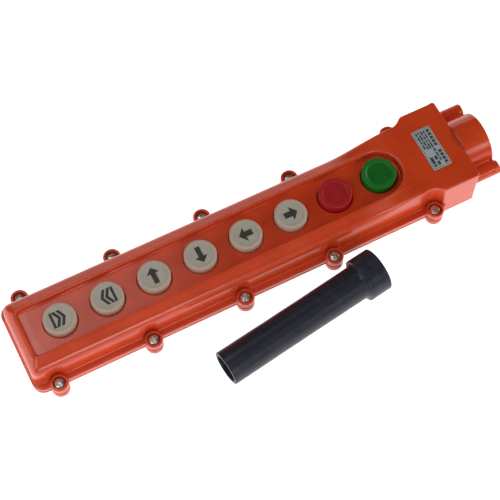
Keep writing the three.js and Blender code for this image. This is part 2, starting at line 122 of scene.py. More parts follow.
# ears for the cover screws, and the hollows above them
EAR_PLACES = (-152.0, -76.0, 0.0, 76.0, 164.25)
EAR_Y = 37.5
EAR_RADIUS = 6.9
EAR_TOP = 19.2
EAR_BOTTOM = 5.5
SCALLOP_RADIUS = 8.0                # beside the screw, narrowing upwards
SCALLOP_LEAN = 0.11
COUNTERBORE_RADIUS = 4.85
COUNTERBORE_FLOOR = 15.4
SCREW_HOLE = 2.3

# inside the rear cover
PEG_REACH = 8.0                     # from the middle between two buttons to each peg
PEG_RADIUS = 1.6
PEG_TOP = 6.1
GRIP_SCREW_Y = 13.5
GRIP_SCREW_HOLE = 1.9
GRIP_POST_RADIUS = 4.0
GRIP_HOLE_BOTTOM = 14.0
SADDLE_TOP = 11.0
EARTH_BOSS_RADIUS = 4.2
EARTH_BOSS_TOP = 8.0
EARTH_HOLE = 2.1
EARTH_HOLE_BOTTOM = 3.6

# cable cap
NECK_HEIGHT = 22.2
NECK_RADIUS = 22.2
NECK_BORE = 15.4
NECK_RECESS = 17.9
NECK_LIP = 3.0
NECK_START = CAP_LOW[0]
NECK_END = 224.2
NECK_GROOVE = (18.9, 20.9)          # inner and outer radius of the seal's groove
NECK_GROOVE_DEPTH = 1.5
CABLE_HOLE = 12.0
LUG_Y = 28.4
LUG_HEIGHT = 23.5
LUG_RADIUS = 5.6
LUG_END = CAP_HIGH[0]
WEB_END = 220.0                     # the web joins each lug to the neck
WEB_HALF = 3.0
CAP_SCREW_SEAT = 220.6
CAP_SCREW_RECESS = 4.6
CAP_BOSS_RADIUS = 5.2               # inside the head, under each cap screw
CAP_BOSS_START = 188.0

# buttons, from the far end to the head
BUTTONS = ("north", "south", "west", "east", "down", "up", "stop", "start")
BUTTON_KINDS = {"stop": "red", "start": "green"}
PITCH = 38.0
CAP_RADIUS = {"cream": 12.55, "red": 13.15, "green": 13.35}
HOLE_CLEARANCE = 0.5


def button_x(index):
    """A button's place along X."""
    return (index - (len(BUTTONS) - 1) / 2) * PITCH


def button_kind(name):
    return BUTTON_KINDS.get(name, "cream")


# ---------------------------------------------------------------- distance fields
def round_max(a, b, r):
    """The space inside both fields, its edge rounded to radius r."""
    return np.minimum(np.maximum(a, b), -r) + np.hypot(np.maximum(a + r, 0), np.maximum(b + r, 0))


def round_min(a, b, r):
    """The space inside either field, with a fillet of radius r where they meet."""
    return np.maximum(np.minimum(a, b), r) - np.hypot(np.maximum(r - a, 0), np.maximum(r - b, 0))


def slab(value, low, high):
    """The space between two parallel planes."""
    return np.abs(value - (low + high) / 2) - (high - low) / 2


def rectangle(x, y, x0, x1, half, start_radius, end_radius):
    """A rectangle from x0 to x1 and -half to half, with its own corner radius at each end."""
    centre = (x0 + x1) / 2
    r = np.where(x < centre, start_radius, end_radius)
    u = np.abs(x - centre) - (x1 - x0) / 2 + r
    v = np.abs(y) - half + r
    return np.hypot(np.maximum(u, 0), np.maximum(v, 0)) + np.minimum(np.maximum(u, v), 0) - r


def rise(value, start, end):
    """0 before start, 1 after end, and a smooth climb between them."""
    t = np.clip((value - start) / (end - start), 0, 1)
    return t * t * (3 - 2 * t)


def ear_distance(x, y):
    """Distance in plan to the nearest screw axis."""
    side = np.abs(y) - EAR_Y
    nearest = np.hypot(x - EAR_PLACES[0], side)
    for place in EAR_PLACES[1:]:
        nearest = np.minimum(nearest, np.hypot(x - place, side))
    return nearest


def tray_plan(x, y):
    """The tray's outline: straight sides and one end in a half circle."""
    straight = rectangle(x, y, TRAY_END, TRAY_ROUND_END, TRAY_HALF, 3.0, SHARP)
    return np.minimum(straight, np.hypot(x - TRAY_ROUND_END, y) - TRAY_HALF)


def rail_bead(x, side):
    """Height of the fine raised line beside the tray, fading out towards both ends."""
    height = 0.15 + 0.07 * rise(x, 120, 138)
    bead = height * np.exp(-((side - BEAD_SIDE) / BEAD_WIDTH) ** 2)
    return bead * rise(x, -158, -146) * (1 - rise(x, 152, 166))


def front_cover_top(x, y, z):
    """Rails that fall outwards, climb into the flat head and slope down at the far end."""
    side = np.abs(y)
    climb = rise(x, CLIMB_START, CLIMB_END)
    crest = RAIL_TOP + (HEAD_TOP - RAIL_TOP) * climb
    shoulder = SHOULDER + (HEAD_TOP - SHOULDER) * climb
    fall = (crest - shoulder) / (SHOULDER_HALF - TRAY_HALF)
    above = z - crest - rail_bead(x, side) + fall * np.maximum(side - TRAY_HALF, 0)
    end_rail = (z - RAIL_TOP - END_SLOPE * (x - TRAY_END)) / math.hypot(1, END_SLOPE)
    return round_max(above / np.sqrt(1 + fall ** 2), end_rail, 2.0)


def front_cover_sides(x, y, z):
    """Leaning walls that flare out to the head, hollowed beside each screw."""
    past = np.clip(x - FLARE_START, 0, HEAD_START - FLARE_START)
    wall = rectangle(x, y, WALL_END, HEAD_START + 1.5 * WALL_OVERLAP, WALL_HALF, 7.0, SHARP)
    wall = (wall - past ** 2 / (2 * FLARE_RADIUS)) / np.hypot(1, past / FLARE_RADIUS)
    wall = np.maximum(wall, x - HEAD_START - WALL_OVERLAP)
    wall = np.maximum(wall + WALL_LEAN * (z - FLANGE_TOP), np.abs(y) - HEAD_HALF)
    head = rectangle(x, y, HEAD_START - 2 * WALL_OVERLAP, HEAD_END, HEAD_HALF, 4.0, HEAD_CORNER)
    sides = np.minimum(wall, np.maximum(head, HEAD_START - x))
    hollow = SCALLOP_RADIUS - SCALLOP_LEAN * np.clip(z - FLANGE_TOP, 0, 30) - ear_distance(x, y)
    hollow_edge = 1.3 + 5.0 * rise(x, 140, 150) * (1 - rise(x, 160, 168))
    return round_max(sides, hollow, hollow_edge)


def front_cover_skin(x, y, z):
    """Top and sides with no underside, their edge soft along the rails and crisper round the head."""
    edge = 4.0 - 2.4 * rise(x, CLIMB_START, CLIMB_END)
    edge = edge - 0.2 * rise(x, 166, 175) - 0.9 * rise(x, 194, 200)
    return round_max(front_cover_sides(x, y, z), front_cover_top(x, y, z), edge)


def front_cover_outside(x, y, z):
    """The skin closed below, with the flange and the ears that take the cover screws."""
    body = round_max(front_cover_skin(x, y, z), HEAD_BOTTOM - z, 1.5)
    body = round_max(body, np.minimum(HEAD_START - x, SEAM - z), 0.4)
    flange = round_max(
        rectangle(x, y, FLANGE_END, HEAD_START + 1, FLANGE_HALF, 9.0, 1.0),
        slab(z, SEAM, FLANGE_TOP), 0.9)
    cover = round_min(body, flange, 1.4)
    ear = round_max(ear_distance(x, y) - EAR_RADIUS, slab(z, SEAM, EAR_TOP), 0.8)
    return round_min(cover, ear, 0.7)


def front_cover_cavity(x, y, z):
    """The room under the tray, the head's room, and the way into it for the rear cover's tub."""
    room = np.maximum(
        rectangle(x, y, WALL_END + WALL, TONGUE_START + 1, WALL_HALF - WALL, 5.0, 1.0),
        z - TRAY_UNDERSIDE)
    room = np.maximum(room, SCALLOP_RADIUS + WALL - ear_distance(x, y))
    head_room = np.maximum(
        rectangle(x, y, TONGUE_START - FIT, HEAD_END - 3, TONGUE_HALF + FIT, 1.0, 1.0),
        z - HEAD_TOP + WALL)
    tub_way = np.maximum(
        rectangle(x, y, HEAD_START - 2, TONGUE_START + 1, TUB_HALF + FIT, 0.1, 0.1), z - SEAM)
    cavity = np.minimum(np.minimum(room, head_room), tub_way)
    return np.maximum(cavity, front_cover_skin(x, y, z) + LEAST_WALL)


def label_pocket(x, y, z):
    """The shallow seat of the label plate in the head's top."""
    middle = (PLATE_HIGH + PLATE_LOW)[:2] / 2
    half = (PLATE_HIGH - PLATE_LOW)[:2] / 2 + FIT
    plan = rectangle(x, y - middle[1], middle[0] - half[0], middle[0] + half[0], half[1], 1.0, 1.0)
    return np.maximum(plan, PLATE_LOW[2] - FIT - z)


def front_cover(x, y, z):
    """The hollow cover with its tray, button holes, screw holes, cap bosses and label pocket."""
    shell = np.maximum(front_cover_outside(x, y, z), -front_cover_cavity(x, y, z))
    tray = round_max(tray_plan(x, y) - TRAY_DRAFT * (z - TRAY_FLOOR), TRAY_FLOOR - z, 1.3)
    shell = round_max(shell, -tray, 1.5 + 2.0 * rise(-x, 146, 160))
    for index, name in enumerate(BUTTONS):
        hole = np.hypot(x - button_x(index), y) - CAP_RADIUS[button_kind(name)] - HOLE_CLEARANCE
        shell = round_max(shell, -hole, 0.5)
    from_screw = ear_distance(x, y)
    counterbore = np.maximum(from_screw - COUNTERBORE_RADIUS, COUNTERBORE_FLOOR - z)
    shell = np.maximum(shell, -np.minimum(counterbore, from_screw - SCREW_HOLE))
    from_lug = np.hypot(np.abs(y) - LUG_Y, z - LUG_HEIGHT)
    boss = np.maximum(from_lug - CAP_BOSS_RADIUS, slab(x, CAP_BOSS_START, HEAD_END - 1.2))
    shell = np.minimum(shell, boss)
    cap_hole = np.maximum(from_lug - SCREW_HOLE, CAP_BOSS_START + 2 - x)
    cable_hole = np.maximum(np.hypot(y, z - NECK_HEIGHT) - CABLE_HOLE, HEAD_END - 5 - x)
    return np.maximum(shell, -np.minimum(np.minimum(cap_hole, cable_hole), label_pocket(x, y, z)))


def rear_cover(x, y, z):
    """The tub with its rim, its tongue into the head, and the ears under the cover screws."""
    rim = round_max(
        rectangle(x, y, FLANGE_END + 0.2, REAR_RIM_END, FLANGE_HALF - 0.2, 8.8, 1.0),
        slab(z, REAR_LIP, REAR_TOP), 0.7)
    tub = np.minimum(
        rectangle(x, y, TUB_END, TONGUE_START + 1, TUB_HALF, 8.0, 0.5),
        rectangle(x, y, TONGUE_START, TONGUE_END, TONGUE_HALF, 0.5, 0.5))
    tub = round_max(tub, slab(z, 0, REAR_TOP), 1.8)
    from_screw = ear_distance(x, y)
    ear = round_max(from_screw - EAR_RADIUS, slab(z, EAR_BOTTOM, REAR_TOP), 0.9)
    cover = round_min(round_min(rim, tub, 1.0), ear, 0.7)
    room = np.maximum(
        rectangle(x, y, TUB_END + WALL, TONGUE_END - WALL, TUB_HALF - WALL, 5.0, 5.0), WALL - z)
    hole = np.maximum(from_screw - SCREW_HOLE, EAR_BOTTOM + 1.5 - z)
    cover = np.maximum(cover, -np.minimum(room, hole))
    return np.minimum(cover, rear_cover_insides(x, y, z))


def rear_cover_insides(x, y, z):
    """Pegs for the contact blocks, the cord saddle with its posts, and the earth boss."""
    base = WALL - 1
    pegs = None
    for index in range(0, len(BUTTONS), 2):
        middle = button_x(index) + PITCH / 2
        plan = np.hypot(np.abs(x - middle) - PEG_REACH, y) - PEG_RADIUS
        peg = np.maximum(plan, slab(z, base, PEG_TOP))
        pegs = peg if pegs is None else np.minimum(pegs, peg)
    grip_low, grip_high = box_mm("cord_grip_bar")
    grip_x = (grip_low[0] + grip_high[0]) / 2
    post_plan = np.hypot(x - grip_x, np.abs(y) - GRIP_SCREW_Y)
    posts = np.maximum(post_plan - GRIP_POST_RADIUS, slab(z, base, grip_low[2] - FIT))
    posts = np.maximum(posts, -np.maximum(post_plan - GRIP_SCREW_HOLE, GRIP_HOLE_BOTTOM - z))
    saddle_plan = np.maximum(slab(x, grip_x - GRIP_POST_RADIUS, grip_x + GRIP_POST_RADIUS),
                             np.abs(y) - GRIP_SCREW_Y)
    saddle = np.maximum(saddle_plan, slab(z, base, SADDLE_TOP))
    earth_low, earth_high = box_mm("earth_screw")
    earth_x, earth_y = ((earth_low + earth_high) / 2)[:2]
    from_earth = np.hypot(x - earth_x, y - earth_y)
    boss = np.maximum(from_earth - EARTH_BOSS_RADIUS, slab(z, base, EARTH_BOSS_TOP))
    boss = np.maximum(boss, -np.maximum(from_earth - EARTH_HOLE, EARTH_HOLE_BOTTOM - z))
    return np.minimum(np.minimum(pegs, posts), np.minimum(saddle, boss))


def cable_cap(x, y, z):
    """The round neck with its recessed bore, and a screw lug on a web at each side."""
    from_axis = np.hypot(y, z - NECK_HEIGHT)
    from_lug = np.hypot(np.abs(y) - LUG_Y, z - LUG_HEIGHT)
    neck = round_max(from_axis - NECK_RADIUS, x - NECK_END, 0.9)
    lugs = round_max(from_lug - LUG_RADIUS, x - LUG_END, 0.9)
    web = np.maximum(np.maximum(slab(x, NECK_START, WEB_END), np.abs(y) - LUG_Y),
                     slab(z, LUG_HEIGHT - WEB_HALF, LUG_HEIGHT + WEB_HALF))
    cap = round_min(round_min(neck, lugs, 1.6), web, 1.6)
    cap = round_max(cap, NECK_START - x, 0.25)
    recess = np.maximum(from_axis - NECK_RECESS, x - NECK_END + NECK_LIP)
    cap = round_max(cap, -np.minimum(from_axis - NECK_BORE, recess), 0.6)
    groove = np.maximum(slab(from_axis, *NECK_GROOVE), x - NECK_START - NECK_GROOVE_DEPTH)
    screw_recess = np.maximum(from_lug - CAP_SCREW_RECESS, CAP_SCREW_SEAT - x)
    screw_hole = np.minimum(from_lug - SCREW_HOLE, screw_recess)
    return np.maximum(cap, -np.minimum(groove, screw_hole))


def pan_screw(shank_radius, shank_length, head_radius, head_height):
    """A pan-head screw with a cross recess, its head's underside at height 0."""
    def field(x, y, z):
        out = np.hypot(x, y)
        crown = head_radius * 2.1
        dome = np.sqrt(x * x + y * y + (z - head_height + crown) ** 2) - crown
        head = round_max(round_max(out - head_radius, dome, head_height * 0.38), -z, 0.2)
        shank = np.maximum(out - shank_radius, slab(z, -shank_length, 0.2))
        turn_in = 0.16 * (head_height - z)
        arm = head_radius * 0.6 - turn_in * 2.2
        slot = head_radius * 0.125 - turn_in * 0.25
        along_x = round_max(np.abs(x) - arm, np.abs(y) - slot, 0.1)
        along_y = round_max(np.abs(y) - arm, np.abs(x) - slot, 0.1)
        recess = np.maximum(round_min(along_x, along_y, 0.25), head_height * 0.3 - z)
        return round_min(round_max(head, -recess, 0.12), shank, 0.05)
    return field


# ---------------------------------------------------------------- from field to mesh
def surface_net(field, low, high, step):
    """Points and quads of the field's surface, one point in each grid cell that it crosses."""
    axes = [np.arange(a - 2 * step, b + 3 * step, step) for a, b in zip(low, high)]
    value = field(*np.meshgrid(*axes, indexing="ij", sparse=True)).astype(np.float32)
    inside = value < 0
    cells = tuple(count - 1 for count in value.shape)
    crossings, rings = [], []
    for axis in range(3):
        first = tuple(slice(None, -1) if k == axis else slice(None) for k in range(3))
        last = tuple(slice(1, None) if k == axis else slice(None) for k in range(3))
        edge = np.argwhere(inside[first] != inside[last])
        a, b = value[first][tuple(edge.T)], value[last][tuple(edge.T)]
        point = edge.astype(float)
        point[:, axis] += a / (a - b)
        u, v = (axis + 1) % 3, (axis + 2) % 3
        around = []                     # the four cells that share each crossed grid edge
        for du, dv in ((-1, -1), (0, -1), (0, 0), (-1, 0)):
            cell = edge.copy()
            cell[:, u] += du
            cell[:, v] += dv
            around.append(np.ravel_multi_index(cell.T, cells))
        ring = np.stack(around, 1)
        ring[a >= 0] = ring[a >= 0, ::-1]   # so that every face looks outwards
        crossings.append(point)
        rings.append(ring)
    crossings, rings = np.concatenate(crossings), np.concatenate(rings)
    corner = np.unique(rings, return_inverse=True)[1].reshape(rings.shape)
    flat = corner.T.ravel()
    share = np.bincount(flat)
    points = np.stack(
        [np.bincount(flat, np.tile(crossings[:, k], 4)) / share for k in range(3)], 1)
    return points * step + [a[0] for a in axes], corner


def gradient(field, points):
    """The field's slope at each point, from its values a little to either side."""
    reach = 0.02
    slope = np.empty_like(points)
    for k in range(3):
        nudge = np.zeros(3)
        nudge[k] = reach
        slope[:, k] = field(*(points + nudge).T) - field(*(points - nudge).T)
    return slope / (2 * reach)


def settle(field, points, rounds, most):
    """Moves points onto the field's surface, each at most that far in a round."""
    for _ in range(rounds):
        slope = gradient(field, points)
        steep = np.maximum((slope ** 2).sum(1), 0.05)
        move = np.clip(field(*points.T), -most, most) / steep
        points = points - slope * move[:, None]
    return points


def mesh_from(name, points_mm, faces):
    """A checked mesh from points in millimetres."""
    mesh = bpy.data.meshes.new(name)
    mesh.from_pydata((np.asarray(points_mm) * MM).tolist(), [], [list(face) for face in faces])
    mesh.validate()
    return mesh


def vertices_mm(mesh):
    """A mesh's points in millimetres, one row each."""
    points = np.empty(len(mesh.vertices) * 3)
    mesh.vertices.foreach_get("co", points)
    return points.reshape(-1, 3) / MM


def thinned_mesh(mesh, kept):
    """A copy of the mesh with that share of its faces, fewest where it is flat. The mesh is removed."""
    holder = bpy.data.objects.new(mesh.name, mesh)
    bpy.context.collection.objects.link(holder)
    holder.modifiers.new("thin", "DECIMATE").ratio = kept
    thinned = bpy.data.meshes.new_from_object(
        holder.evaluated_get(bpy.context.evaluated_depsgraph_get()))
    bpy.data.objects.remove(holder)
    bpy.data.meshes.remove(mesh)
    return thinned


def field_mesh(name, field, low, high, step, kept):
    """A smooth closed mesh of a field, thinned out where it is flat, with the field's own normals."""
    points, quads = surface_net(field, low, high, step)
    points = settle(field, points, 3, step / 2)
    mesh = thinned_mesh(mesh_from(name, points, quads), kept)
    points = settle(field, vertices_mm(mesh), 2, step / 4)
    mesh.vertices.foreach_set("co", (points * MM).ravel())
    mesh.update()
    normals = gradient(field, points)
    normals /= np.maximum(np.linalg.norm(normals, axis=1), 1e-6)[:, None]
    mesh.shade_smooth()
    mesh.normals_split_custom_set_from_vertices(normals.tolist())
    mesh.name = name
    return mesh


def arc_profile(corners):
    """Corners as (radius, height, rounding), each rounding drawn as an arc of straight steps."""
    steps = 5
    count = len(corners)
    points = []
    for k, (r, h, rounding) in enumerate(corners):
        here = np.array([r, h], float)
        if rounding <= 0:
            points.append(here)
            continue
        before = np.array(corners[k - 1][:2], float) - here
        after = np.array(corners[(k + 1) % count][:2], float) - here
        before /= np.linalg.norm(before)
        after /= np.linalg.norm(after)
        half = math.acos(float(np.clip(before @ after, -1, 1))) / 2
        reach = rounding / math.tan(half)
        start, end = here + before * reach, here + after * reach
        middle = here + (before + after) / np.linalg.norm(before + after) * rounding / math.sin(half)
        a, b = start - middle, end - middle
        sweep = math.pi - 2 * half
        for step in range(steps + 1):
            t = step / steps
            spoke = a * math.sin((1 - t) * sweep) + b * math.sin(t * sweep)
            points.append(middle + spoke / math.sin(sweep))
    return np.array(points)


def turned_mesh(name, corners):
    """A body turned about Z from corners that run up its outside and close on the axis or on themselves."""
    sides = 96
    profile = arc_profile(corners)
    on_axis = profile[:, 0] < 1e-6
    angle = np.arange(sides) * 2 * math.pi / sides
    points, rows = [], []
    for (r, h), single in zip(profile, on_axis):
        rows.append((len(points), single))
        if single:
            points.append((0, 0, h))
        else:
            points.extend(zip(r * np.cos(angle), r * np.sin(angle), np.full(sides, h)))
    faces = []
    for (a, a_single), (b, b_single) in zip(rows, rows[1:] + rows[:1]):
        if a_single and b_single:
            continue
        for k in range(sides):
            after = (k + 1) % sides
            if a_single:
                faces.append((a, b + after, b + k))
            elif b_single:
                faces.append((a + k, a + after, b))
            else:
                faces.append((a + k, a + after, b + after, b + k))
    mesh = mesh_from(name, points, faces)
    mesh.shade_smooth()
    return mesh


def add_object(name, mesh, material, place=None):
    """A new object in the scene. A mesh that several pieces share brings its own material."""
    piece = bpy.data.objects.new(name, mesh)
    bpy.context.collection.objects.link(piece)
    if material is not None:
        mesh.materials.clear()
        mesh.materials.append(material)
    if place is not None:
        piece.matrix_world = place
    return piece


def stand_for(piece, body, node):
    """The piece rides on the body and stands for the CAD node, which it hides."""
    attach(piece, body)
    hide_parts(node)


# ---------------------------------------------------------------- materials
class Nodes:
    """A material's node tree, with short calls for the few nodes that the finishes use."""

    def __init__(self, name):
        self.material = bpy.data.materials.new(name)
        self.material.use_nodes = True
        self.tree = self.material.node_tree
        self.shader = self.tree.nodes["Principled BSDF"]
        self.place = self.add("ShaderNodeTexCoord").outputs["Object"]

    def add(self, kind, **inputs):
        node = self.tree.nodes.new(kind)
        for key, value in inputs.items():
            self.feed(node, key, value)
        return node

    def feed(self, node, key, value):
        """Sets an input, or links a socket to it. The key _3 is the input with that number."""
        by_number = key[0] == "_" and key[1:].isdigit()
        socket = node.inputs[int(key[1:]) if by_number else key.replace("_", " ")]
        if isinstance(value, bpy.types.NodeSocket):
            self.tree.links.new(value, socket)
        else:
            socket.default_value = value

    def shade(self, key, value):
        """Sets or links an input of the surface shader."""
        self.feed(self.shader, key, value)

    def noise(self, size_mm, detail, rough=0.5, stretch=None):
        """Noise from 0 to 1 whose blotches are about size_mm across."""
        place = self.place
        if stretch is not None:
            mapping = self.add("ShaderNodeMapping", Vector=place, Scale=stretch)
            place = mapping.outputs["Vector"]
        node = self.add("ShaderNodeTexNoise", Vector=place, Scale=1 / (size_mm * MM), Detail=detail,
                        Roughness=rough)
        return node.outputs["Fac"]

    def spread(self, value, low, high, start=0.3, end=0.7):
        """Maps value from start..end to low..high."""
        node = self.add("ShaderNodeMapRange", Value=value, _1=start, _2=end, _3=low, _4=high)
        return node.outputs["Result"]

    def outward(self, start_mm, end_mm):
        """0 within the first radius about the piece's own Z axis, 1 past the second."""
        level = self.tree.nodes.new("ShaderNodeVectorMath")
        level.operation = "MULTIPLY"
        level.inputs[1].default_value = (1, 1, 0)
        self.tree.links.new(self.place, level.inputs[0])
        length = self.tree.nodes.new("ShaderNodeVectorMath")
        length.operation = "LENGTH"
        self.tree.links.new(level.outputs[0], length.inputs[0])
        return self.spread(length.outputs["Value"], 0.0, 1.0, start_mm * MM, end_mm * MM)

    def ramp(self, value, stops):
        """Colours along 0..1, from stops given as (position, colour)."""
        node = self.add("ShaderNodeValToRGB", Fac=value)
        elements = node.color_ramp.elements
        while len(elements) < len(stops):
            elements.new(0.5)
        for element, (position, colour) in zip(elements, stops):
            element.position = position
            element.color = (*colour, 1)
        return node.outputs["Color"]

    def mix(self, share, a, b):
        """From colour a to colour b as the share goes from 0 to 1."""
        node = self.tree.nodes.new("ShaderNodeMix")
        node.data_type = "RGBA"
        for socket, value in ((node.inputs["Factor"], share), (node.inputs[6], a), (node.inputs[7], b)):
            if isinstance(value, bpy.types.NodeSocket):
                self.tree.links.new(value, socket)
            else:
                socket.default_value = (*value, 1)
        return node.outputs[2]

    def bump(self, height, depth_mm, strength, under=None):
        """Surface relief from a height, laid over another relief if one is given."""
        node = self.add("ShaderNodeBump", Height=height, Distance=depth_mm * MM, Strength=strength)
        if under is not None:
            self.tree.links.new(under, node.inputs["Normal"])
        return node.outputs["Normal"]


def moulded_plastic(name, tone, deep, pale, gloss, patch=28, grain=0.55, depth=0.02, rim=None,
                    shine=0.5):
    """Moulded plastic: cloudy colour, fine orange-peel skin and a gloss that comes and goes.
    A rim is (radius, tone): round the piece's own axis, past that radius, the colour turns to it. That tone
    is painted light: a painted highlight on the cap's raised rim, pinkish on the cream caps as a painted
    reflection of the orange housing."""
    nodes = Nodes(name)
    cloud = nodes.noise(patch, 3.0, 0.55)
    colour = nodes.ramp(cloud, [(0.28, deep), (0.5, tone), (0.74, pale)])
    if rim is not None:
        radius, painted_rim_light = rim
        # past the radius the colour turns to a painted highlight, pinkish on the cream caps as a painted
        # reflection of the orange housing
        colour = nodes.mix(nodes.outward(radius - 0.4, radius + 0.4), colour, painted_rim_light)
    dust = nodes.spread(nodes.noise(1.6, 2.0), 0.0, 0.10, 0.45, 0.8)
    nodes.shade("Base Color", nodes.mix(dust, colour, pale))
    handled = nodes.noise(9, 4.0, 0.65)
    nodes.shade("Roughness", nodes.spread(handled, *gloss))
    peel = nodes.bump(nodes.noise(grain, 1.0), depth, 0.5)
    wave = nodes.bump(nodes.noise(11, 1.0), 0.12, 0.35, peel)
    nodes.shade("Normal", wave)
    nodes.shade("Specular IOR Level", shine)
    return nodes.material


def rubber(name, tone, pale, gloss, ripple=None, shine=0.5):
    """Rubber with a faint bloom, a fine grain and, if asked, long ripples."""
    nodes = Nodes(name)
    bloom = nodes.noise(7, 4.0, 0.6)
    nodes.shade("Base Color", nodes.ramp(bloom, [(0.35, tone), (0.75, pale)]))
    nodes.shade("Roughness", nodes.spread(nodes.noise(4, 3.0), *gloss))
    skin = nodes.bump(nodes.noise(0.35, 2.0), 0.03, 0.6)
    if ripple is not None:
        skin = nodes.bump(nodes.noise(ripple, 1.0, stretch=(1.0, 2.2, 2.2)), 0.5, 0.3, skin)
    nodes.shade("Normal", skin)
    nodes.shade("Specular IOR Level", shine)
    return nodes.material


def metal(name, tone, worn, gloss, stretch=(1.0, 1.0, 1.0), metallic=1.0):
    """Plated metal with small dull spots and a fine grain, drawn out into lines by the stretch."""
    nodes = Nodes(name)
    spots = nodes.noise(1.3, 4.0, 0.6)
    nodes.shade("Base Color", nodes.ramp(spots, [(0.4, tone), (0.7, worn)]))
    nodes.shade("Metallic", metallic)
    lines = nodes.noise(0.25, 2.0, 0.5, stretch)
    nodes.shade("Roughness", nodes.spread(lines, *gloss))
    nodes.shade("Normal", nodes.bump(lines, 0.01, 0.5))
    return nodes.material


def ink(name, tone, worn):
    """Printed ink: nearly matt, thin in places."""
    nodes = Nodes(name)
    thin = nodes.spread(nodes.noise(0.8, 3.0), 0.0, 1.0, 0.55, 0.8)
    nodes.shade("Base Color", nodes.mix(thin, tone, worn))
    nodes.shade("Roughness", nodes.spread(nodes.noise(2, 2.0), 0.45, 0.62))
    nodes.shade("Normal", nodes.bump(nodes.noise(0.3, 1.0), 0.01, 0.4))
    return nodes.material


# Tones are linear red, green and blue.
FINISHES = {
    "housing_plastic": moulded_plastic(
        "housing_plastic", (0.64, 0.057, 0.013), (0.58, 0.048, 0.010), (0.69, 0.070, 0.018),
        gloss=(0.17, 0.25)),
    # The caps' rim tones are painted light: a lighter rim as a painted highlight, pinkish on the cream caps
    # as a painted reflection of the orange housing.
    "cream_plastic": moulded_plastic(
        "cream_plastic", (0.42, 0.385, 0.315), (0.37, 0.335, 0.265), (0.48, 0.445, 0.37),
        patch=12, grain=0.4, depth=0.012, gloss=(0.34, 0.5), rim=(10.1, (0.53, 0.40, 0.31))),
    "red_plastic": moulded_plastic(
        "red_plastic", (0.34, 0.007, 0.010), (0.30, 0.005, 0.006), (0.39, 0.012, 0.017),
        patch=12, grain=0.4, depth=0.012, gloss=(0.36, 0.48), rim=(9.8, (0.40, 0.009, 0.014)),
        shine=0.28),
    "green_plastic": moulded_plastic(
        "green_plastic", (0.002, 0.115, 0.007), (0.001, 0.095, 0.005), (0.006, 0.14, 0.013),
        patch=12, grain=0.4, depth=0.012, gloss=(0.36, 0.48), rim=(9.8, (0.003, 0.16, 0.010)),
        shine=0.28),
    "gasket_rubber": rubber("gasket_rubber", (0.27, 0.22, 0.205), (0.38, 0.32, 0.30), (0.6, 0.8)),
    "seal_rubber": rubber("seal_rubber", (0.02, 0.02, 0.022), (0.05, 0.05, 0.052), (0.55, 0.75)),
    "boot_rubber": rubber("boot_rubber", (0.012, 0.013, 0.024), (0.021, 0.023, 0.038), (0.30, 0.42),
                          ripple=16, shine=0.34),
    "plate_metal": metal("plate_metal", (0.50, 0.56, 0.58), (0.40, 0.45, 0.47), (0.30, 0.45),
                         stretch=(1.0, 0.06, 1.0), metallic=0.25),
    "screw_steel": metal("screw_steel", (0.78, 0.76, 0.71), (0.55, 0.50, 0.43), (0.20, 0.38)),
    "dark_screw": metal("dark_screw", (0.10, 0.095, 0.09), (0.17, 0.14, 0.11), (0.3, 0.5)),
    "earth_brass": metal("earth_brass", (0.72, 0.52, 0.20), (0.50, 0.33, 0.12), (0.22, 0.4)),
    "spring_steel": metal("spring_steel", (0.52, 0.51, 0.50), (0.36, 0.34, 0.32), (0.24, 0.42),
                          stretch=(1.0, 1.0, 6.0)),
    "contact_plastic": moulded_plastic(
        "contact_plastic", (0.030, 0.030, 0.032), (0.02, 0.02, 0.021), (0.045, 0.043, 0.043),
        patch=9, gloss=(0.4, 0.6)),
}
DARK_INK = ink("dark_ink", (0.030, 0.026, 0.022), (0.10, 0.088, 0.072))
PLATE_INK = ink("plate_ink", (0.035, 0.037, 0.045), (0.13, 0.13, 0.135))


# ---------------------------------------------------------------- moulded shells and screws
SCREWS = {                          # shank radius and length, head radius and height, finish
    "cover": (1.95, 8, 4.6, 3.1, "screw_steel"),
    "cap": (1.95, 28, 4.1, 2.8, "dark_screw"),
    "grip": (1.5, 12, 3.3, 2.2, "screw_steel"),
    "earth": (1.7, 4, 3.6, 2.4, "earth_brass"),
}


def add_shell(node, field, step, kept):
    low, high = box_mm(node)
    mesh = field_mesh(node + "_shell", field, low, high, step, kept)
    piece = add_object(node + "_shell", mesh, FINISHES["housing_plastic"])
    stand_for(piece, "housing", node)


def screw_mesh(kind):
    shank_radius, shank, radius, height, slot = SCREWS[kind]
    field = pan_screw(shank_radius, shank, radius, height)
    mesh = field_mesh(kind + "_screw_body", field, (-radius, -radius, -shank),
                      (radius, radius, height), 0.2, 0.22)
    mesh.materials.append(FINISHES[slot])
    return mesh


def screw_place(node, shank, along_x, turn):
    """Where the underside of the screw's head sits, its cross recess turned by so many degrees."""
    low, high = box_mm(node)
    axis = 0 if along_x else 2
    seat = (low + high) / 2
    seat[axis] = low[axis] + shank
    upright = Matrix.Rotation(math.pi / 2, 4, "Y") if along_x else Matrix.Identity(4)
    spin = Matrix.Rotation(math.radians(turn), 4, "Z")
    return Matrix.Translation(Vector(seat * MM)) @ upright @ spin


def add_screws():
    """One mesh per kind of screw, set down wherever the frame has one."""
    placed = [("cover", f"cover_screw_{side}_{number}") for number in range(1, len(EAR_PLACES) + 1)
              for side in ("near", "far")]
    placed += [("cap", "cap_screw_near"), ("cap", "cap_screw_far"), ("grip", "cord_grip_screw_near"),
               ("grip", "cord_grip_screw_far"), ("earth", "earth_screw")]
    meshes = {kind: screw_mesh(kind) for kind in SCREWS}
    for order, (kind, node) in enumerate(placed):
        shank, slot = SCREWS[kind][1], SCREWS[kind][4]
        place = screw_place(node, shank, kind == "cap", (order * 37 + 20) % 90)
        piece = add_object(node + "_turned", meshes[kind], None, place)
        stand_for(piece, "housing", node)


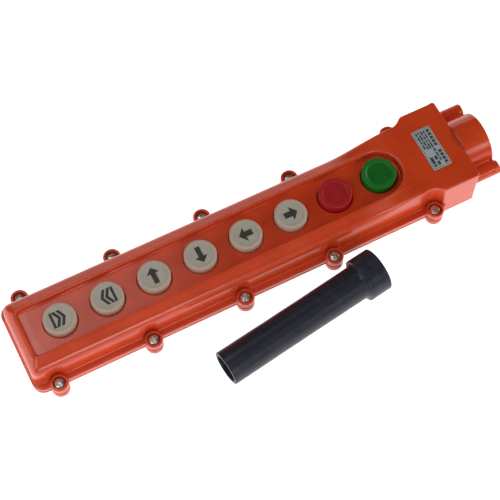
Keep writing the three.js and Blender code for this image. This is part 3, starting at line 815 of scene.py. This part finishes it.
# ---------------------------------------------------------------- buttons
COLLAR_BOTTOM, COLLAR_TOP = 28.2, 30.2
COLLAR_OVERHANG = 2.6
STEM_RADIUS = 3.2
STEM_END = 21.0
CAP_TOP = {"cream": 40.2, "red": 41.5, "green": 41.5}
DISC_DEPTH = {"cream": 0.5, "red": 0.7, "green": 1.1}
LEGEND_TURNS = {"north": 0, "south": 2, "west": 1, "east": 3, "up": 0, "down": 2}
PRINT_HEIGHT = 0.12                 # a legend above its disc
PRINT_SINK = 0.05                   # how far printed marks reach into what they lie on


def button_corners(kind):
    """The cap's outline and its disc's height. The cream caps have a soft edge, a narrow ring and a
    flat disc. The two others have a broad rim round a dished face."""
    r, top = CAP_RADIUS[kind], CAP_TOP[kind]
    collar = r + COLLAR_OVERHANG
    outside = [
        (0, STEM_END, 0), (STEM_RADIUS, STEM_END, 0.4), (STEM_RADIUS, COLLAR_BOTTOM, 0.3),
        (collar, COLLAR_BOTTOM, 0.3), (collar, COLLAR_TOP, 0.3), (r, COLLAR_TOP, 0.2)]
    disc = top - DISC_DEPTH[kind]
    if kind == "cream":
        face = [(r, top - 0.55, 0.9), (r - 1.35, top - 0.4, 0.1), (r - 1.6, top, 0.12),
                (r - 2.35, top, 0.15), (r - 2.6, disc, 0.15), (0, disc, 0)]
    else:
        face = [(r, top, 1.1), (r - 2.6, top, 1.2), (r - 4.4, disc, 1.6), (0, disc, 0)]
    return outside + face, disc


def outline_mesh(name, shapes, surface, height, place):
    """Flat marks that stand on a surface. Each is a list of (right, up) corners in millimetres, as one
    reads it with +X upwards, and place is the reader's origin."""
    points, faces = [], []
    for shape in shapes:
        area = sum(a[0] * b[1] - b[0] * a[1] for a, b in zip(shape, shape[1:] + shape[:1]))
        ring = shape if area > 0 else shape[::-1]
        base, count = len(points), len(ring)
        for z in (surface - PRINT_SINK, surface + height):
            points += [(place[0] + up, place[1] - right, z) for right, up in ring]
        faces.append([base + count + k for k in range(count)])
        faces.append([base + count - 1 - k for k in range(count)])
        for k in range(count):
            after = (k + 1) % count
            faces.append([base + k, base + after, base + count + after, base + count + k])
    return mesh_from(name, points, faces)


def turned_shape(shape, quarter_turns):
    """A flat shape turned to the left, as one reads it."""
    for _ in range(quarter_turns):
        shape = [(-up, right) for right, up in shape]
    return shape


def bar(right, up, width, height):
    """A rectangle round its middle."""
    return [(right - width / 2, up - height / 2), (right + width / 2, up - height / 2),
            (right + width / 2, up + height / 2), (right - width / 2, up + height / 2)]


def chevron(tip, half, rise_mm, thick):
    """A V that points up, as one shape, its tip at that height."""
    return [(-half, tip - rise_mm - thick), (-half, tip - rise_mm), (0, tip), (half, tip - rise_mm),
            (half, tip - rise_mm - thick), (0, tip - thick)]


def arrow(tip, half, head, shaft_half, tail):
    """An arrow that points up, from the height of its tail to that of its tip."""
    return [(-shaft_half, tail), (shaft_half, tail), (shaft_half, tip - head), (half, tip - head),
            (0, tip), (-half, tip - head), (-shaft_half, tip - head)]


def legend(name):
    """Generic direction marks, drawn pointing up and then turned. Stop and start have none."""
    if name not in LEGEND_TURNS:
        return []
    if name in ("north", "south"):
        marks = [chevron(5.0, 6.4, 3.2, 2.4), chevron(1.3, 6.4, 3.2, 2.4), bar(0, -5.3, 12.6, 2.0)]
    elif name in ("west", "east"):
        marks = [arrow(6.8, 5.0, 5.0, 2.0, -6.8)]
    else:
        marks = [arrow(5.6, 6.0, 5.2, 2.4, -5.4)]
    return [turned_shape(mark, LEGEND_TURNS[name]) for mark in marks]


def add_buttons():
    meshes = {}
    for index, name in enumerate(BUTTONS):
        kind = button_kind(name)
        corners, disc = button_corners(kind)
        if kind not in meshes:
            meshes[kind] = turned_mesh(kind + "_button_body", corners)
            meshes[kind].materials.append(FINISHES[kind + "_plastic"])
        body = f"button_{name}_body"
        cap = add_object(f"button_{name}_cap", meshes[kind], None,
                         Matrix.Translation((button_x(index) * MM, 0, 0)))
        stand_for(cap, body, f"button_{name}")
        marks = legend(name)
        if marks:
            mesh = outline_mesh(f"legend_{name}", marks, disc, PRINT_HEIGHT, (button_x(index), 0))
            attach(add_object(f"legend_{name}", mesh, DARK_INK), body)


# ---------------------------------------------------------------- label plate
# lengths of the words in each row of print
PLATE_WORDS = ((3, 4, 2, 5, 3, 4, 3), (4, 3, 2, 5), (2, 5, 4, 3), (3, 4, 2, 4))


def plate_marks(wide, tall):
    """Bars that stand for print within a half width and half height: a frame, a bold heading, rows
    of words and four blocks."""
    line = 0.3
    marks = [bar(0, side * tall, 2 * wide, line) for side in (-1, 1)]
    marks += [bar(side * wide, 0, line, 2 * tall - line) for side in (-1, 1)]
    marks += [bar(-wide + 2.7 + 3.3 * k, tall - 2.2, 2.5, 2.5) for k in range(10) if k != 5]
    for row, words in enumerate(PLATE_WORDS):
        right = -wide + 1.3
        for word in words:
            marks.append(bar(right + word * 0.5, tall - 5.3 - 2.15 * row, word, 1.35))
            right += word + 0.8
    marks += [bar(9.2, -1.0, 3.6, 2.2), bar(14.1, -1.0, 3.4, 2.2)]
    marks += [bar(10.6, -4.6, 6.4, 2.4), bar(15.2, -4.6, 1.8, 2.4)]
    return marks


def add_plate():
    middle, half = (PLATE_LOW + PLATE_HIGH) / 2, (PLATE_HIGH - PLATE_LOW) / 2

    def field(x, y, z):
        plan = rectangle(x, y - middle[1], PLATE_LOW[0], PLATE_HIGH[0], half[1], 0.8, 0.8)
        return round_max(plan, slab(z, PLATE_LOW[2], PLATE_HIGH[2]), 0.12)

    mesh = field_mesh("label_plate_sheet", field, PLATE_LOW, PLATE_HIGH, 0.2, 0.25)
    plate = add_object("label_plate_sheet", mesh, FINISHES["plate_metal"])
    stand_for(plate, "housing", "label_plate")
    marks = plate_marks(half[1] - 1.0, half[0] - 0.9)
    mesh = outline_mesh("plate_marks", marks, PLATE_HIGH[2], 0.05, (middle[0], middle[1]))
    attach(add_object("plate_marks", mesh, PLATE_INK), "housing")


# ---------------------------------------------------------------- parts under the cover
SPRING_WIRE = 0.7                   # radius of the wire
SPRING_TURNS = 3.0


def coil_mesh(name, x, low, high):
    """A compression spring about the upright axis at x, its end coils closer together. Its wire is a
    hair thinner sideways, which keeps it within the frame's own spring."""
    sides = 12
    steps = 96
    radius = (high[0] - low[0]) / 2 - SPRING_WIRE
    share = np.linspace(0, 1, steps + 1)
    climb = rise(share, 0.0, 1.0) * 0.6 + share * 0.4
    height = low[2] + SPRING_WIRE + (high[2] - low[2] - 2 * SPRING_WIRE) * climb
    angle = 2 * math.pi * SPRING_TURNS * share
    points, faces = [], []
    for turn, middle in zip(angle, height):
        for k in range(sides):
            round_wire = 2 * math.pi * k / sides
            r = radius + SPRING_WIRE * math.cos(round_wire) * 0.995
            points.append((x + r * math.cos(turn), r * math.sin(turn),
                           middle + SPRING_WIRE * math.sin(round_wire)))
    for ring in range(0, steps * sides, sides):
        for k in range(sides):
            after = (k + 1) % sides
            faces.append((ring + k, ring + after, ring + sides + after, ring + sides + k))
    faces.append(tuple(range(sides))[::-1])
    faces.append(tuple(steps * sides + k for k in range(sides)))
    mesh = mesh_from(name, points, faces)
    mesh.shade_smooth()
    return mesh


def add_springs():
    """One spring under each button."""
    for index, name in enumerate(BUTTONS):
        node = f"return_spring_{index + 1}"
        low, high = box_mm(node)
        mesh = coil_mesh(node + "_coil", button_x(index), low, high)
        coil = add_object(node + "_coil", mesh, FINISHES["spring_steel"])
        stand_for(coil, "housing", node)
        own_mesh(coil)


def add_grip_bar():
    low, high = box_mm("cord_grip_bar")
    middle, half = (low + high) / 2, (high - low) / 2

    def field(x, y, z):
        plan = rectangle(x, y, low[0], high[0], half[1], 4.0, 4.0)
        cast = round_max(plan, slab(z, low[2], high[2]), 0.7)
        holes = np.hypot(x - middle[0], np.abs(y) - GRIP_SCREW_Y) - GRIP_SCREW_HOLE
        return round_max(cast, -holes, 0.25)

    mesh = field_mesh("cord_grip_bar_cast", field, low, high, 0.35, 0.35)
    piece = add_object("cord_grip_bar_cast", mesh, FINISHES["screw_steel"])
    stand_for(piece, "housing", "cord_grip_bar")


def slot_of(node):
    """The record's material slot of a CAD node."""
    return next(part["material_slot"] for part in frame["record"]["subparts"] if part["node"] == node)


def dress_cad_nodes():
    """The frame's own pieces that still show get their slot's finish."""
    for node, piece in frame["nodes"].items():
        if piece.hide_render:
            continue
        slot = slot_of(node)
        for holder in piece.material_slots:
            holder.material = FINISHES[slot]
        if not piece.material_slots:
            piece.data.materials.append(FINISHES[slot])


# ---------------------------------------------------------------- cable boot
BOOT_LENGTH = 140.0
BOOT_RADIUS = 13.8
BOOT_WALL = 2.7
BOOT_COLLAR_RADIUS = 17.4
BOOT_COLLAR_LENGTH = 18.0
BOOT_RIDGES = 4
BOOT_FOOT = (-38.2, -80.8)          # middle of the small end on the floor
BOOT_TURN = 7.85                    # degrees from the housing's length


def boot_corners(steps):
    """The sleeve's outline: a long, slightly hollow tube, then a ribbed collar, round one bore."""
    inner = BOOT_RADIUS - BOOT_WALL
    back = BOOT_LENGTH - BOOT_COLLAR_LENGTH
    corners = [(inner, 0, 0.5), (BOOT_RADIUS, 0, 0.9)]
    for k in range(1, steps + 1):
        share = k / (steps + 1)
        hollow = 0.22 * math.sin(share * math.pi) + 0.05 * math.sin(share * 23)
        corners.append((BOOT_RADIUS - hollow, back * share, 0))
    corners += [(BOOT_RADIUS, back - 2.0, 0.8), (BOOT_RADIUS + 1.1, back, 0.8),
                (BOOT_COLLAR_RADIUS, back, 0.8)]
    groove = BOOT_COLLAR_RADIUS - 0.35
    for k in range(BOOT_RIDGES):
        ridge = BOOT_LENGTH - 9.5 + 2.1 * k
        corners += [(BOOT_COLLAR_RADIUS, ridge, 0.15), (groove, ridge + 0.35, 0.1),
                    (groove, ridge + 0.95, 0.1), (BOOT_COLLAR_RADIUS, ridge + 1.3, 0.15)]
    corners += [(BOOT_COLLAR_RADIUS, BOOT_LENGTH, 0.8), (inner, BOOT_LENGTH, 0.5)]
    for k in range(steps, 0, -1):
        corners.append((inner, BOOT_LENGTH * k / (steps + 1), 0))
    return corners


def add_boot():
    """A moulded rubber sleeve with a stepped collar, at rest on its small end and its collar."""
    mesh = turned_mesh("cable_boot_sleeve", boot_corners(12))
    back = BOOT_LENGTH - BOOT_COLLAR_LENGTH
    climb = math.asin((BOOT_COLLAR_RADIUS - BOOT_RADIUS) / back)
    foot_height = BOOT_RADIUS * math.cos(climb) + 0.05
    place = Matrix.Translation((BOOT_FOOT[0] * MM, BOOT_FOOT[1] * MM, foot_height * MM))
    turn = Matrix.Rotation(math.radians(BOOT_TURN), 4, "Z")
    lie = Matrix.Rotation(math.pi / 2 - climb, 4, "Y")
    mesh.transform(place @ turn @ lie)
    boot = add_object("cable_boot_sleeve", mesh, FINISHES["boot_rubber"])
    stand_for(boot, "boot", "cable_boot")


# ---------------------------------------------------------------- studio
CAMERA_PLACE = Vector((-0.1892, -0.4106, 0.9846))
CAMERA_TARGET = Vector((0.0251, 0.0047, -0.0030))
CAMERA_ROLL = math.radians(0.579)
CAMERA_LENS = 100.93                # millimetres on a 36 mm sensor
FLOOR_HALF = 6.0
FLOOR_HEIGHT = -0.0002              # just under the parts that stand on it


def add_camera():
    ahead = (CAMERA_TARGET - CAMERA_PLACE).normalized()
    level = ahead.cross(Vector((0, 0, 1))).normalized()
    right = level * math.cos(CAMERA_ROLL) + level.cross(ahead) * math.sin(CAMERA_ROLL)
    up = right.cross(ahead)
    turn = Matrix((right, up, -ahead)).transposed().to_4x4()
    data = bpy.data.cameras.new("camera")
    data.sensor_width = 36
    data.lens = CAMERA_LENS
    camera = bpy.data.objects.new("camera", data)
    bpy.context.collection.objects.link(camera)
    camera.matrix_world = Matrix.Translation(CAMERA_PLACE) @ turn
    bpy.context.scene.camera = camera


def add_light(name, place, target, size, power):
    data = bpy.data.lights.new(name, "AREA")
    data.shape = "RECTANGLE"
    data.size, data.size_y = size
    data.energy = power
    light = bpy.data.objects.new(name, data)
    bpy.context.collection.objects.link(light)
    light.location = place
    light.rotation_mode = "QUATERNION"
    light.rotation_quaternion = (Vector(target) - Vector(place)).to_track_quat("-Z", "Y")


def add_floor():
    nodes = Nodes("studio_floor")
    nodes.shade("Base Color", nodes.ramp(nodes.noise(60, 2.0),
                                         [(0.3, (0.86, 0.86, 0.865)), (0.7, (0.88, 0.88, 0.88))]))
    nodes.shade("Roughness", 0.9)
    nodes.shade("Emission Color", (1, 1, 1, 1))
    nodes.shade("Emission Strength", 0.92)
    corners = [(x * FLOOR_HALF, y * FLOOR_HALF, FLOOR_HEIGHT)
               for x, y in ((-1, -1), (1, -1), (1, 1), (-1, 1))]
    mesh = bpy.data.meshes.new("floor")
    mesh.from_pydata(corners, [], [(0, 1, 2, 3)])
    add_object("floor", mesh, nodes.material)


def add_world():
    world = bpy.data.worlds.new("studio")
    world.use_nodes = True
    background = world.node_tree.nodes["Background"]
    background.inputs["Color"].default_value = (1, 1, 1, 1)
    background.inputs["Strength"].default_value = 0.015
    bpy.context.scene.world = world


def add_lights():
    """Broad soft lights, each named for where it stands or for the reflection it makes."""
    add_light("haze_left", (-0.32, 0.62, 1.44), (-0.14, 0, 0.04), (0.36, 0.6), 2.4)
    add_light("haze_middle", (0.02, 0.62, 1.44), (-0.08, 0, 0.04), (0.3, 0.6), 0.8)
    add_light("near_middle", (0.1, -1.5, 0.4), (0, 0, 0.02), (1.0, 0.4), 0.8)
    add_light("near_left", (-0.75, -1.3, 0.4), (-0.1, 0, 0.02), (0.9, 0.4), 1.6)
    add_light("shoulder_left", (-0.02, -1.3, 0.75), (0, 0, 0.03), (0.42, 0.5), 3.6)
    add_light("shoulder_right", (0.9, -1.2, 0.8), (0.1, 0, 0.03), (0.4, 0.5), 2.7)
    add_light("left_sweep", (-1.5, 0.1, 0.4), (0, 0, 0.02), (1.4, 0.5), 6.6)
    add_light("right_sweep", (1.5, 0, 0.6), (0, 0, 0.02), (1.4, 0.5), 9.4)
    add_light("far_low", (0.2, 1.6, 0.35), (0, 0, 0.03), (2.4, 0.35), 3.4)
    add_light("top_near", (0.1, -0.5, 1.5), (0, 0, 0), (0.8, 0.6), 1.2)
    add_light("top_left", (-0.9, -0.3, 1.2), (-0.05, 0, 0), (0.7, 0.7), 3.8)


# ---------------------------------------------------------------- the whole scene
bpy.context.scene.view_settings.view_transform = "Standard"
add_shell("front_cover", front_cover, FIELD_STEP, KEPT_SHARE)
add_shell("rear_cover", rear_cover, FIELD_STEP * 1.1, KEPT_SHARE)
add_shell("cable_cap", cable_cap, FIELD_STEP * 0.8, KEPT_SHARE * 1.3)
add_screws()
add_buttons()
add_plate()
add_springs()
add_grip_bar()
add_boot()
dress_cad_nodes()
add_floor()
add_world()
add_lights()
add_camera()
